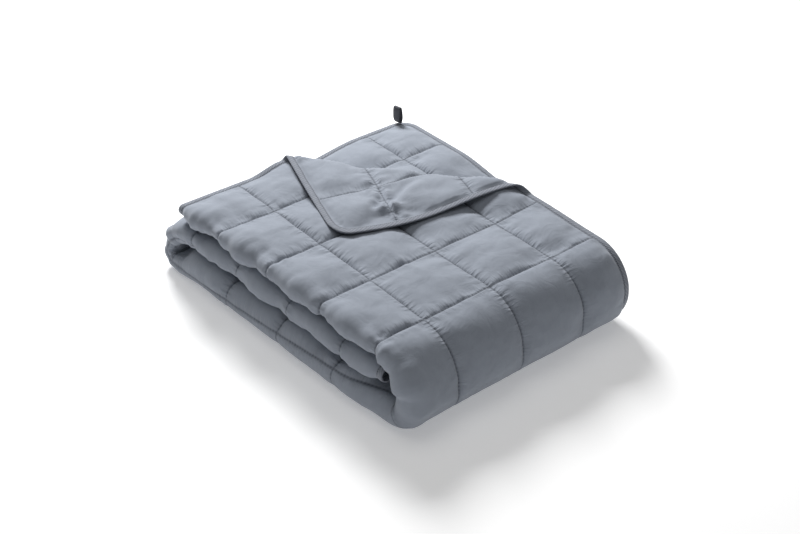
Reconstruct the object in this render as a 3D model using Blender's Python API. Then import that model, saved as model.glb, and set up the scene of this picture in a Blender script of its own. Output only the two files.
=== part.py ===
"""Weighted blanket: quilted, doubled across its width, folded in three along its length.

The blanket is one filled cloth.  It is first doubled along its length, so that a hairpin runs
down the left side and both long edges lie on the right.  The doubled band then goes forward on
top, down round the front, back along the ground, up round the back and forward again in the
middle, where it ends inside the front fold.  The far top corner is turned back.
Units are metres, +Z is up, and the origin is under the middle of the folded blanket.
"""
import math

import bmesh
import bpy
import numpy as np
from mathutils import Vector

CELL = 0.150            # side of one quilted square; the tables below are in cells
MM = 0.001 / CELL       # one millimetre, in cells

# ---- the flat blanket ----------------------------------------------------------------------
EDGE_COLUMN = 0.80      # width of the first and the last column, binding included
FULL_COLUMNS = 6
WIDTH = 2 * EDGE_COLUMN + FULL_COLUMNS
BINDING = 13.0 * MM     # width of the edge binding
SEAM_HALF = 1.5 * MM    # half the thickness at a stitched line
PUFF_HALF = 8.0 * MM    # half the thickness in the middle of a square
BOTTOM_PUFF = 14.0 * MM # the same on the ground, where it would swell into the surface

# ---- the fold, seen from the left side -----------------------------------------------------
RIGHT_EDGE = 3.86       # x of the upper sheet's bound edge
INNER_EDGE = 3.97       # x of the under sheet's bound edge
LEFT_SIDE = 0.19        # x of the hairpin at the back end
SIDE_SKEW = 0.046       # how far the hairpin drifts to the right for each cell forward
BACK_EDGE = -0.10       # y of the free end on top
TOP_LEVEL = -0.01       # height of the upper sheet's middle surface
GROUND = -1.045         # height of the surface that it rests on

# Runs of the outer sheet's path: length of a straight, or radius and turn of an arc.
COURSE = (
    # run,     size,  turn in degrees
    ("top",    3.93,  0.0),
    ("front",  0.560, 115.0),
    ("heel",   0.290, 65.0),
    ("ground", 4.32,  0.0),
    ("spring", 0.190, 100.0),
    ("back",   0.535, 80.0),
    ("middle", 3.81,  0.0),
)
# The doubled band at places along the path: distance between its two sheets, and how far its
# hairpin stands out past the line of the left side.
BAND = (
    # path,  gap,   stands out
    (0.0,    0.125, 0.00),
    (3.4,    0.145, 0.00),
    (4.5,    0.190, 0.00),
    (5.4,    0.280, 0.03),
    (6.2,    0.330, 0.09),
    (9.0,    0.330, 0.10),
    (9.62,   0.130, 0.08),
    (10.0,   0.130, 0.07),
    (10.9,   0.195, 0.03),
    (14.6,   0.190, 0.02),
)
# Places of the cross seams along the path, from the free end on top to the end inside.
CROSS_SEAMS = (0.90, 1.90, 2.90, 3.90, 5.22, 6.32, 7.37, 8.42, 9.70, 10.18, 10.90, 11.85, 12.90, 13.90)
HIDDEN_FROM = 10.90     # past this place the cloth lies inside and needs fewer stations

# ---- the turned back corner ----------------------------------------------------------------
TURN_START = (1.79, -0.12)   # where the crease leaves the back edge
TURN_END = (3.66, -2.62)     # where it leaves the right edge
TURN_SHAPE = (
    # place along the crease, roll radius, lift before the roll, reach of that lift
    (0.0,  0.050, 0.090, 0.42),
    (0.8,  0.060, 0.035, 0.40),
    (2.2,  0.068, 0.045, 0.50),
    (3.1,  0.068, 0.050, 0.75),
)
FLAP_REST = 0.125            # height of the turned sheet above the sheet that it lies on
SETTLE_RUN = 1.1             # distance past the roll over which it comes down to that height
CREASE_BOW = 0.065           # how far the crease bows inwards between its ends
CREASE_BOW_REACH = 0.6       # how far before the crease that bow begins
FLAP_BOW = 0.17              # how far the turned sheet's lower edge bows out
FLAP_BOW_SPAN = (1.15, 3.10) # where along the crease that bow begins and ends
FLAP_BOW_REACH = 0.8         # distance past the roll over which it grows
CORNER_RISE = 0.125          # how far the uncovered corner of the under sheet rises
CORNER_RISE_X = (1.9, 1.2)   # where that rise begins, and how far it takes, across
CORNER_RISE_Y = (-2.4, 1.1)  # and along the blanket's top
TOP_BAND_END = 4.2           # path up to which a sheet counts as the top band

# ---- the corner loop -----------------------------------------------------------------------
RIBBON_WIDTH = 0.018
RIBBON_THICK = 0.0014
LOOP_HEIGHT = 0.038
LOOP_GAP = 0.0100            # clear distance between the two strands
LOOP_TWIST = math.radians(10.0)
LOOP_LEAN = 0.06             # sideways lean, as a part of the height
LOOP_PINCH = 0.009           # height at which the strands part
LOOP_INSET = (-0.024, -0.004)  # foot of the loop, measured from the sheet's corner
ARC_PIECES = 8
CLEAR = 0.0006               # gap kept between separate pieces

PUFF_STATIONS = (0.26, 0.74)
PUFF_SQUARENESS = 3.2   # how full a square is between its seams: higher is fuller
ON_SEAM = 0.02          # part of a square's width that still counts as its seam
FACES_DOWN = -0.9       # vertical part of the facing below which the cloth rests on the ground
NORMAL_STEP = 0.004     # step used to find the cloth's direction
ARC_STEP = 30.0         # degrees between grid lines round a turn of the path
CREASE_STEP = 0.12      # spacing of the crease's grid lines, as a part of its length
CREASE_END = 0.04       # the same near its two ends, where the edge rolls over
CREASE_MARGIN = 0.10    # how far those lines go on past its two ends
NEAREST_LINES = 0.060   # closest that two grid lines come
HAIRPIN_STATIONS = 4    # extra grid lines round the hairpin
HAIRPIN_STEP = 0.12     # and their spacing


def clear_scene():
    for item in list(bpy.data.objects):
        bpy.data.objects.remove(item, do_unlink=True)


def principled(name, colour, roughness):
    material = bpy.data.materials.new(name)
    material.use_nodes = True
    shader = material.node_tree.nodes["Principled BSDF"]
    shader.inputs["Base Color"].default_value = (*colour, 1.0)
    shader.inputs["Roughness"].default_value = roughness
    shader.inputs["Metallic"].default_value = 0.0
    return material


def smooth(share):
    """From 0 to 1 with level ends."""
    share = np.clip(share, 0, 1)
    return share * share * (3 - 2 * share)


def read_table(rows, place, column):
    """Value of one column at a place, with smooth steps between the table's rows."""
    places = [row[0] for row in rows]
    values = [row[column] for row in rows]
    place = np.clip(place, places[0], places[-1])
    index = np.clip(np.searchsorted(places, place, side="right") - 1, 0, len(rows) - 2)
    low = np.take(places, index)
    high = np.take(places, index + 1)
    share = smooth((place - low) / (high - low))
    return np.take(values, index) * (1 - share) + np.take(values, index + 1) * share


def path_length():
    return sum(size if turn == 0.0 else size * math.radians(turn) for _, size, turn in COURSE)


LENGTH = path_length()


def course_point(along):
    """Place (y, z) and outward direction of the outer sheet at a distance along its path."""
    along = np.asarray(along, float)
    y = np.zeros_like(along)
    z = np.zeros_like(along)
    facing = np.zeros_like(along)
    start = 0.0
    here = (BACK_EDGE, TOP_LEVEL)
    angle = 0.0
    for kind, size, turn in COURSE:
        turned = math.radians(turn)
        run = size * turned if turn else size
        last = kind == COURSE[-1][0]
        inside = (along >= start - 1e-9) & (last | (along < start + run - 1e-9))
        step = along - start
        if turn:
            now = angle + step / size
            centre = (here[0] + size * math.sin(angle), here[1] - size * math.cos(angle))
            y = np.where(inside, centre[0] - size * np.sin(now), y)
            z = np.where(inside, centre[1] + size * np.cos(now), z)
            facing = np.where(inside, now, facing)
            angle += turned
            here = (centre[0] - size * math.sin(angle), centre[1] + size * math.cos(angle))
        else:
            y = np.where(inside, here[0] - step * math.cos(angle), y)
            z = np.where(inside, here[1] - step * math.sin(angle), z)
            facing = np.where(inside, angle, facing)
            here = (here[0] - run * math.cos(angle), here[1] - run * math.sin(angle))
        start += run
    return y, z, -np.sin(facing), np.cos(facing)


def turn_corner(x, y, z, on_upper_sheet):
    """Turn the far corner of the upper sheet back over its crease.

    Past the crease the sheet runs round a half circle and returns above itself, coming down to
    rest on the sheet below.  Before the crease it rises a little, most at the two open ends.
    """
    start = np.array(TURN_START)
    crease = np.array(TURN_END) - start
    crease /= np.linalg.norm(crease)
    away = np.array((-crease[1], crease[0]))
    along = (x - start[0]) * crease[0] + (y - start[1]) * crease[1]
    past = (x - start[0]) * away[0] + (y - start[1]) * away[1]
    share = np.clip(along / TURN_SHAPE[-1][0], 0, 1)
    past = past + CREASE_BOW * np.sin(math.pi * share) * smooth(1 + past / CREASE_BOW_REACH)
    radius = read_table(TURN_SHAPE, along, 1)
    lift = read_table(TURN_SHAPE, along, 2)
    reach = read_table(TURN_SHAPE, along, 3)
    rise = lift * smooth(1 + past / reach)
    angle = np.clip(past / radius, 0, math.pi)
    beyond = np.maximum(past - math.pi * radius, 0)
    settle = smooth(beyond / SETTLE_RUN)
    top = rise + 2 * radius
    height = np.where(beyond > 0, top + (FLAP_REST - top) * settle, rise + radius * (1 - np.cos(angle)))
    bow_share = np.clip((along - FLAP_BOW_SPAN[0]) / (FLAP_BOW_SPAN[1] - FLAP_BOW_SPAN[0]), 0, 1)
    bow = FLAP_BOW * np.sin(math.pi * bow_share) * smooth(beyond / FLAP_BOW_REACH)
    shift = np.where(past > 0, radius * np.sin(angle) - beyond - past - bow, 0.0)
    height = np.where(on_upper_sheet, height, 0.0)
    shift = np.where(on_upper_sheet, shift, 0.0)
    return x + shift * away[0], y + shift * away[1], z + height


def middle_surface(across, along):
    """Middle surface of the cloth: across goes from the upper edge round to the under edge."""
    y, z, face_y, face_z = course_point(along)
    half = read_table(BAND, along, 1) / 2
    side = LEFT_SIDE - SIDE_SKEW * (y - BACK_EDGE) - read_table(BAND, along, 2)
    centre = side + half
    outer_run = RIGHT_EDGE - centre
    bend = math.pi * half
    inner_run = WIDTH - outer_run - bend
    angle = np.clip((across - outer_run) / half, 0, math.pi)
    back = np.maximum(across - outer_run - bend, 0)
    x = np.where(across < outer_run, RIGHT_EDGE - across, centre - half * np.sin(angle))
    x = np.where(back > 0, centre + back * (INNER_EDGE - centre) / inner_run, x)
    depth = half * (1 - np.cos(angle))
    y = y - depth * face_y
    z = z - depth * face_z
    upper = (along < TOP_BAND_END) & (across < outer_run)
    under = (along < TOP_BAND_END) & (back > 0)
    corner = smooth((x - CORNER_RISE_X[0]) / CORNER_RISE_X[1]) * smooth((y - CORNER_RISE_Y[0]) / CORNER_RISE_Y[1])
    z = z + np.where(under, CORNER_RISE * corner, 0.0)
    x, y, z = turn_corner(x, y, z, upper)
    return np.stack((x, y, z), axis=-1)


def surface_normal(across, along):
    """Direction of the cloth's outer face, from small steps on the middle surface."""
    step = NORMAL_STEP
    over = middle_surface(across + step, along) - middle_surface(across - step, along)
    down = middle_surface(across, along + step) - middle_surface(across, along - step)
    normal = np.cross(down, over)
    return normal / np.linalg.norm(normal, axis=-1, keepdims=True)


def puff_half(across, along):
    """Half thickness at the stations: thin on the stitched lines, full inside a square."""
    column = across_share(across)
    row = along_share(along)
    _, z, _, face_z = course_point(along)
    crown = np.where(face_z < FACES_DOWN, BOTTOM_PUFF, PUFF_HALF)
    return SEAM_HALF + (crown - SEAM_HALF) * column * row


def seam_lines(ends, seams):
    return [ends[0] + BINDING + CLEAR / CELL, *seams, ends[1] - BINDING - CLEAR / CELL]


ACROSS_SEAMS = seam_lines((0.0, WIDTH), [EDGE_COLUMN + i for i in range(FULL_COLUMNS + 1)])
ALONG_SEAMS = seam_lines((0.0, LENGTH), CROSS_SEAMS)


def inside_share(value, seams):
    """0 on a seam and on the edge band, 1 at the stations inside a square."""
    value = np.asarray(value, float)
    share = np.zeros_like(value)
    for low, high in zip(seams[:-1], seams[1:]):
        place = (value - low) / (high - low)
        inside = (place > ON_SEAM) & (place < 1 - ON_SEAM)
        share = np.where(inside, 1 - np.abs(2 * place - 1) ** PUFF_SQUARENESS, share)
    return share


def across_share(across):
    return inside_share(across, ACROSS_SEAMS)


def along_share(along):
    return inside_share(along, ALONG_SEAMS)


def crease_stations():
    """Paired grid lines (across, along) that meet on the crease, so that it runs on diagonals."""
    start = np.array((RIGHT_EDGE - TURN_START[0], BACK_EDGE - TURN_START[1]))
    end = np.array((RIGHT_EDGE - TURN_END[0], BACK_EDGE - TURN_END[1]))
    span = end - start
    marks = [(seam - start[0]) / span[0] for seam in ACROSS_SEAMS[1:3]]
    marks += [(seam - start[1]) / span[1] for seam in ALONG_SEAMS[1:3]]
    marks += [CREASE_END * step for step in (-1, 0, 1, 2)]
    marks += [1 + CREASE_END * step for step in (-4, -3, -2, -1, 0, 1)]
    shares = sorted([-CREASE_MARGIN, *marks, 1 + CREASE_MARGIN])
    filled = []
    for low, high in zip(shares[:-1], shares[1:]):
        pieces = max(1, round((high - low) / CREASE_STEP))
        filled += [low + (high - low) * i / pieces for i in range(pieces)]
    filled.append(shares[-1])
    lines = [[start[k] + span[k] * share for share in filled] for k in (0, 1)]
    return [[place for place in line if place > BINDING + NEAREST_LINES] for line in lines]


def stations(length, seams, crease, extra, hidden_from):
    """Grid lines along one direction: edges, seams, the crease's own lines and puff stations."""
    places = [0.0, length, *seams, *crease]
    last_crease = max(crease)
    for low, high in zip(seams[:-1], seams[1:]):
        shares = PUFF_STATIONS if low < hidden_from else (0.5,)
        places += [low + (high - low) * share for share in shares if low + high * share > last_crease]
    keep = [0.0, length, *seams]
    for place in sorted(places) + extra:
        if all(abs(place - other) > NEAREST_LINES for other in keep):
            keep.append(place)
    return np.array(sorted(keep))


def fold_stations():
    """Extra grid lines where the path turns, so that its arcs stay round."""
    places = []
    start = 0.0
    for _, size, turn in COURSE:
        run = size * math.radians(turn) if turn else size
        if turn:
            pieces = max(2, round(turn / ARC_STEP))
            places += [start + run * i / pieces for i in range(pieces + 1)]
        start += run
    return places


def hairpin_stations():
    """Extra grid lines where the width turns round the hairpin."""
    middle = RIGHT_EDGE - LEFT_SIDE - read_table(BAND, 0.0, 1) / 2
    return [middle + HAIRPIN_STEP * i for i in range(-1, HAIRPIN_STATIONS)]


def to_metres(points):
    """From the fold's own cells to metres, with the origin under the middle."""
    return (points - ORIGIN) * CELL


CREASE_ACROSS, CREASE_ALONG = crease_stations()
ACROSS = stations(WIDTH, ACROSS_SEAMS, CREASE_ACROSS, hairpin_stations(), WIDTH / 2)
ALONG = stations(LENGTH, ALONG_SEAMS, CREASE_ALONG, fold_stations(), HIDDEN_FROM)
ORIGIN = np.array((2.038, -2.182, GROUND))


def close_grid(front, back):
    """Vertices and faces of the slab between two skins that share a grid."""
    rows, columns = front.shape[:2]
    vertices = np.concatenate((front.reshape(-1, 3), back.reshape(-1, 3)))
    other = rows * columns
    faces = []
    for i in range(rows - 1):
        for j in range(columns - 1):
            a = i * columns + j
            b, c, d = a + 1, a + columns + 1, a + columns
            faces += [(a, b, d), (b, c, d)]
            faces += [(other + a, other + d, other + b), (other + b, other + d, other + c)]
    rim = [(0, j) for j in range(columns - 1)]
    rim += [(i, columns - 1) for i in range(rows - 1)]
    rim += [(rows - 1, j) for j in range(columns - 1, 0, -1)]
    rim += [(i, 0) for i in range(rows - 1, 0, -1)]
    ring = [i * columns + j for i, j in rim]
    for a, b in zip(ring, ring[1:] + ring[:1]):
        faces.append((a, other + a, other + b, b))
    return vertices, faces


def add_mesh(name, vertices, faces, material):
    mesh = bpy.data.meshes.new(name)
    mesh.from_pydata([tuple(map(float, v)) for v in vertices], [], faces)
    mesh.materials.append(material)
    work = bmesh.new()
    work.from_mesh(mesh)
    bmesh.ops.triangulate(work, faces=work.faces[:])
    bmesh.ops.recalc_face_normals(work, faces=work.faces[:])
    work.to_mesh(mesh)
    work.free()
    mesh.shade_smooth()
    mesh.set_sharp_from_angle(angle=math.radians(50))
    item = bpy.data.objects.new(name, mesh)
    bpy.context.scene.collection.objects.link(item)
    return item


def blanket_body(material):
    """The filled cloth: two skins joined at the stitched lines, pressed flat on the ground."""
    across, along = np.meshgrid(ACROSS, ALONG)
    middle = middle_surface(across, along)
    normal = surface_normal(across, along)
    half = puff_half(across, along)[..., None]
    skins = [to_metres(middle + sign * half * normal) for sign in (1, -1)]
    for skin in skins:
        skin[..., 2] = np.maximum(skin[..., 2], 0.0)
    return add_mesh("quilted_blanket", *close_grid(*skins), material)


def edge_stations():
    """Places round the blanket's edge, each with its inward direction (across, along)."""
    inner_across = ACROSS[2:-2]
    inner_along = ALONG[2:-2]
    round_trip = [(0.0, 0.0, 1, 1)]
    round_trip += [(a, 0.0, 0, 1) for a in inner_across]
    round_trip += [(WIDTH, 0.0, -1, 1)]
    round_trip += [(WIDTH, v, -1, 0) for v in inner_along]
    round_trip += [(WIDTH, LENGTH, -1, -1)]
    round_trip += [(a, LENGTH, 0, -1) for a in inner_across[::-1]]
    round_trip += [(0.0, LENGTH, 1, -1)]
    round_trip += [(0.0, v, 1, 0) for v in inner_along[::-1]]
    return np.array(round_trip)


def binding_profile():
    """Folded tape in section: (distance in from the edge, height off the middle surface)."""
    gap = CLEAR / CELL
    slot = SEAM_HALF + gap
    tape = 1.0 * MM
    out = slot + tape
    return [
        (BINDING, out), (-gap - tape, out), (-gap - tape, -out), (BINDING, -out),
        (BINDING, -slot), (-gap, -slot), (-gap, slot), (BINDING, slot),
    ]


def edge_binding(material):
    """One tape folded over the whole edge of the blanket, with mitred corners."""
    places = edge_stations()
    rings = []
    for inward, height in binding_profile():
        across = places[:, 0] + places[:, 2] * inward
        along = places[:, 1] + places[:, 3] * inward
        point = extended_surface(across, along)
        normal = surface_normal(np.clip(across, 0, WIDTH), np.clip(along, 0, LENGTH))
        rings.append(to_metres(point + height * normal))
    grid = np.stack(rings, axis=1)
    count, sides = grid.shape[:2]
    faces = []
    for i in range(count):
        after = (i + 1) % count
        end_edge = abs(places[i, 1] - places[after, 1]) < 1e-9
        for j in range(sides):
            k = (j + 1) % sides
            a, b, c, d = i * sides + j, after * sides + j, after * sides + k, i * sides + k
            if (j % 4 == 0) == end_edge:
                faces += [(a, b, c), (a, c, d)]
            else:
                faces += [(a, b, d), (b, c, d)]
    return add_mesh("edge_binding", grid.reshape(-1, 3), faces, material)


def extended_surface(across, along):
    """Middle surface, carried straight on for the last millimetre past the blanket's edge."""
    near_across = np.clip(across, 0, WIDTH)
    near_along = np.clip(along, 0, LENGTH)
    point = middle_surface(near_across, near_along)
    step = 0.01
    inner_across = np.clip(near_across, step, WIDTH - step)
    inner_along = np.clip(near_along, step, LENGTH - step)
    slope_across = point - middle_surface(inner_across, near_along)
    slope_along = point - middle_surface(near_across, inner_along)
    reach_across = np.abs(across - near_across) / step
    reach_along = np.abs(along - near_along) / step
    return point + slope_across * reach_across[:, None] + slope_along * reach_along[:, None]


def loop_frame():
    """Foot of the corner loop, its hole's direction and the direction between its strands."""
    foot = to_metres(middle_surface(np.array([WIDTH]), np.array([0.0])))[0]
    hole = Vector((math.sin(LOOP_TWIST), -math.cos(LOOP_TWIST), 0.0))
    between = Vector((math.cos(LOOP_TWIST), math.sin(LOOP_TWIST), 0.0))
    lift = (SEAM_HALF + 1.0 * MM) * CELL + 3 * CLEAR
    foot = Vector(foot) + Vector((*LOOP_INSET, lift))
    return foot, hole, between


def corner_loop(material):
    """Ribbon folded into an upright loop, its two ends sewn together at the foot."""
    foot, hole, between = loop_frame()
    half = LOOP_GAP / 2 + RIBBON_THICK
    straight = LOOP_HEIGHT - half
    pinch = LOOP_PINCH
    outer = [(-RIBBON_THICK, 0.0), (-half, pinch), (-half, straight)]
    inner = [(-half + RIBBON_THICK, pinch + RIBBON_THICK), (-half + RIBBON_THICK, straight)]
    for i in range(1, ARC_PIECES):
        turn = math.pi * i / ARC_PIECES
        outer.append((-half * math.cos(turn), straight + half * math.sin(turn)))
        near = half - RIBBON_THICK
        inner.append((-near * math.cos(turn), straight + near * math.sin(turn)))
    outer += [(half, straight), (half, pinch), (RIBBON_THICK, 0.0)]
    inner += [(half - RIBBON_THICK, straight), (half - RIBBON_THICK, pinch + RIBBON_THICK)]
    inner = [(0.0, pinch * 0.55)] + inner
    work = bmesh.new()
    sides = []
    for sign in (-1, 1):
        rings = []
        for outline in (outer, inner):
            ring = []
            for across, up in outline:
                lean = between * (across - LOOP_LEAN * up) + Vector((0, 0, up))
                ring.append(work.verts.new(foot + lean + hole * (sign * RIBBON_WIDTH / 2)))
            rings.append(ring)
        sides.append(rings)
    for k in range(2):
        ring_a, ring_b = sides[0][k], sides[1][k]
        for i in range(len(ring_a)):
            n = (i + 1) % len(ring_a)
            work.faces.new((ring_a[i], ring_a[n], ring_b[n], ring_b[i]))
    for rings in sides:
        edges = []
        for ring in rings:
            for i in range(len(ring)):
                edges.append(work.edges.get((ring[i], ring[(i + 1) % len(ring)])))
        bmesh.ops.triangle_fill(work, edges=edges, use_beauty=True)
    bmesh.ops.recalc_face_normals(work, faces=work.faces[:])
    mesh = bpy.data.meshes.new("corner_loop")
    work.to_mesh(mesh)
    work.free()
    mesh.materials.append(material)
    mesh.shade_smooth()
    mesh.set_sharp_from_angle(angle=math.radians(40))
    item = bpy.data.objects.new("corner_loop", mesh)
    bpy.context.scene.collection.objects.link(item)
    return item


def main():
    clear_scene()
    blanket_body(principled("quilted cotton", (0.30, 0.33, 0.38), 0.85))
    edge_binding(principled("cotton binding", (0.20, 0.21, 0.24), 0.85))
    corner_loop(principled("woven ribbon", (0.07, 0.07, 0.08), 0.75))


if __name__ == "__main__":
    main()
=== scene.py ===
# %% [markdown]
# # A folded weighted blanket
# A weighted blanket is a flat quilt: two sheets of cloth, usually with wadding and beads between
# them, sewn through in squares.  Here it lies doubled across its width, folded in three along
# its length, with the far top corner turned back.  The lesson builds that cloth as one mapping
# from the flat blanket to the folded one, and dresses the mapping with two skins.

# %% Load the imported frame
import math

import bpy
import numpy as np
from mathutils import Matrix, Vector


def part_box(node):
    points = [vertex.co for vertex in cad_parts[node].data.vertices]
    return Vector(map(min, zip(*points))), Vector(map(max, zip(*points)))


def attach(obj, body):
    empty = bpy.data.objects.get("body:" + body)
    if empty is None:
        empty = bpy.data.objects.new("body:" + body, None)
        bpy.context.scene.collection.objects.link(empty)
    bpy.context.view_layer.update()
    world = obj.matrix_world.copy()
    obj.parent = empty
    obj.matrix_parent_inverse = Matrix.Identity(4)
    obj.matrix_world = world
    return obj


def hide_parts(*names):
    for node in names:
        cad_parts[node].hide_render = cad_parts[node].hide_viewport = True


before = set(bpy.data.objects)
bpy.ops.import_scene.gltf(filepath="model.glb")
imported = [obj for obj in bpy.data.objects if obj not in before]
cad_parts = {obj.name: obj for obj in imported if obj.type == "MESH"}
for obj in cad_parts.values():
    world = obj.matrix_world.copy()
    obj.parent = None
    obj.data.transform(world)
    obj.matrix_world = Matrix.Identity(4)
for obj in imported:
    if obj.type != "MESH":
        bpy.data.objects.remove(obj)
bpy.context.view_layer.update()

# %% [markdown]
# ## The sizes that drive everything
# All lengths are counted in quilted squares ("cells"), because a quilter counts them too.  The
# rows below say how the cloth runs through the fold; they repeat what the frame's solids follow.

# %% Sizes of the blanket and of its fold
CELL = 0.150                 # side of one quilted square in metres
MM = 0.001 / CELL            # one millimetre in cells
ORIGIN = np.array((2.038, -2.182, -1.045))
EDGE_COLUMN, FULL_COLUMNS = 0.80, 6
WIDTH = 2 * EDGE_COLUMN + FULL_COLUMNS
BINDING = 13.0 * MM          # width of the tape along the edge
RIGHT_EDGE, INNER_EDGE = 3.86, 3.97            # where the upper and the under sheet end
LEFT_SIDE, SIDE_SKEW = 0.19, 0.046             # the doubled edge, and how it slants towards the front
BACK_EDGE, TOP_LEVEL = -0.10, -0.01            # where the length starts
CORNER_ROUND = 0.26          # radius of the cloth's four rounded corners

# run, radius or length in cells, turn in degrees
COURSE = (
    ("top",    3.93,  0.0),
    ("front",  0.560, 115.0),
    ("heel",   0.290, 65.0),
    ("ground", 4.32,  0.0),
    ("spring", 0.190, 100.0),
    ("back",   0.535, 80.0),
    ("middle", 3.81,  0.0),
)
LENGTH = sum(size * (math.radians(turn) if turn else 1.0) for _, size, turn in COURSE)
# path, gap between the doubled sheets, how far the hairpin stands out
BAND = np.array((
    (0.0,    0.125, 0.00),
    (3.4,    0.145, 0.00),
    (4.5,    0.190, 0.00),
    (5.4,    0.280, 0.03),
    (6.2,    0.330, 0.09),
    (9.0,    0.330, 0.10),
    (9.62,   0.130, 0.08),
    (10.0,   0.130, 0.07),
    (10.9,   0.195, 0.03),
    (14.6,   0.190, 0.02),
))
LONG_SEAMS = np.array([EDGE_COLUMN + i for i in range(FULL_COLUMNS + 1)])
CROSS_SEAMS = np.array((0.90, 1.90, 2.90, 3.90, 5.22, 6.32, 7.37, 8.42, 9.70, 10.18,
                        10.90, 11.85, 12.90, 13.90))
TURN_START, TURN_END = np.array((1.79, -0.12)), np.array((3.66, -2.62))
# place along the crease, roll radius, lift before the roll, reach of that lift
TURN_SHAPE = np.array((
    (0.0,  0.050, 0.090, 0.42),
    (0.8,  0.060, 0.035, 0.40),
    (2.2,  0.068, 0.045, 0.50),
    (3.1,  0.068, 0.050, 0.75),
))
FLAP_REST, SETTLE_RUN = 0.125, 1.1             # the flap's height at rest, and its way down to it
CREASE_BOW, CREASE_BOW_REACH = 0.065, 0.6      # the crease isn't straight: how far it bows, and from where
FLAP_BOW, FLAP_BOW_REACH, FLAP_BOW_SPAN = 0.17, 0.8, (1.15, 3.10)
TOP_BAND_END = 4.2           # the length up to here lies on top
CORNER_RISE = 0.125          # the under sheet rises towards its far corner
CORNER_RISE_X, CORNER_RISE_Y = (1.9, 1.2), (-2.4, 1.1)     # start and run of that rise
NORMAL_STEP = 0.006
LATTICE = 256                # random numbers each way in the noise
print(f"flat blanket {WIDTH * CELL:.2f} x {LENGTH * CELL:.2f} m")

# %% [markdown]
# ## Helpers for smooth steps, tables and noise
# Cloth has no sharp changes, so every table is read with smooth steps.  Wrinkles need noise that
# is the same on each run: random numbers from a fixed seed on a lattice, joined by smooth steps.

# %% Smooth steps, table reading and seeded noise
def smooth(share):
    """0 to 1 with level ends: three times the square less twice the cube."""
    share = np.clip(share, 0, 1)
    return share * share * (3 - 2 * share)


def read_table(rows, place, column):
    """One column's value at a place, smoothly stepped between the rows."""
    places = rows[:, 0]
    index = np.clip(np.searchsorted(places, place, side="right") - 1, 0, len(rows) - 2)
    share = smooth((place - places[index]) / (places[index + 1] - places[index]))
    return rows[index, column] * (1 - share) + rows[index + 1, column] * share


def noise(a, b, step_a, step_b, seed):
    """Smooth noise from -1 to 1: lattice values step_a by step_b apart, blended between corners."""
    lattice = np.random.default_rng(seed).uniform(-1, 1, (LATTICE, LATTICE))
    x, y = np.asarray(a) / step_a + LATTICE / 4 + 0.5, np.asarray(b) / step_b + LATTICE / 4 + 0.5
    i, j = np.floor(x).astype(int), np.floor(y).astype(int)
    u, v = smooth(x - i), smooth(y - j)
    i, j, i1, j1 = i % LATTICE, j % LATTICE, (i + 1) % LATTICE, (j + 1) % LATTICE
    low = lattice[i, j] * (1 - u) + lattice[i1, j] * u
    high = lattice[i, j1] * (1 - u) + lattice[i1, j1] * u
    return low * (1 - v) + high * v


# %% [markdown]
# ## From the flat cloth to the folded cloth
# A fold of this kind is a known path, so the middle of the cloth is written as one function of
# the two flat coordinates: across the width, and along the length.  It isn't simulated.

# %% The path of the length through the fold
def course_point(along):
    """Place (y, z) and facing of the outer sheet: straights and arcs, laid end to end."""
    y, z, facing = (np.zeros_like(along) for _ in range(3))
    start, angle, here = 0.0, 0.0, (BACK_EDGE, TOP_LEVEL)
    for number, (_, size, turn) in enumerate(COURSE):
        turned = math.radians(turn)
        run = size * turned if turn else size
        last = number == len(COURSE) - 1
        inside = (along >= start - 1e-9) & (last | (along < start + run - 1e-9))
        step = along - start
        if turn:
            now = angle + step / size
            centre = (here[0] + size * math.sin(angle), here[1] - size * math.cos(angle))
            y = np.where(inside, centre[0] - size * np.sin(now), y)
            z = np.where(inside, centre[1] + size * np.cos(now), z)
            facing = np.where(inside, now, facing)
            angle += turned
            here = (centre[0] - size * math.sin(angle), centre[1] + size * math.cos(angle))
        else:
            y = np.where(inside, here[0] - step * math.cos(angle), y)
            z = np.where(inside, here[1] - step * math.sin(angle), z)
            facing = np.where(inside, angle, facing)
            here = (here[0] - run * math.cos(angle), here[1] - run * math.sin(angle))
        start += run
    return y, z, -np.sin(facing), np.cos(facing)


heights = course_point(np.linspace(0, LENGTH, 200))[1]
print(f"the path of the length is {np.ptp(heights) * CELL * 1000:.0f} mm high")


# %% [markdown]
# ## The turned corner
# On the real blanket one corner is simply folded over, and its thickness keeps it from lying flat.
# A modifier that bends the mesh would have to be kept off the layers under it.  A formula can
# choose the upper sheet alone, and leads it up, round a half circle and back down on to itself.

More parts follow.
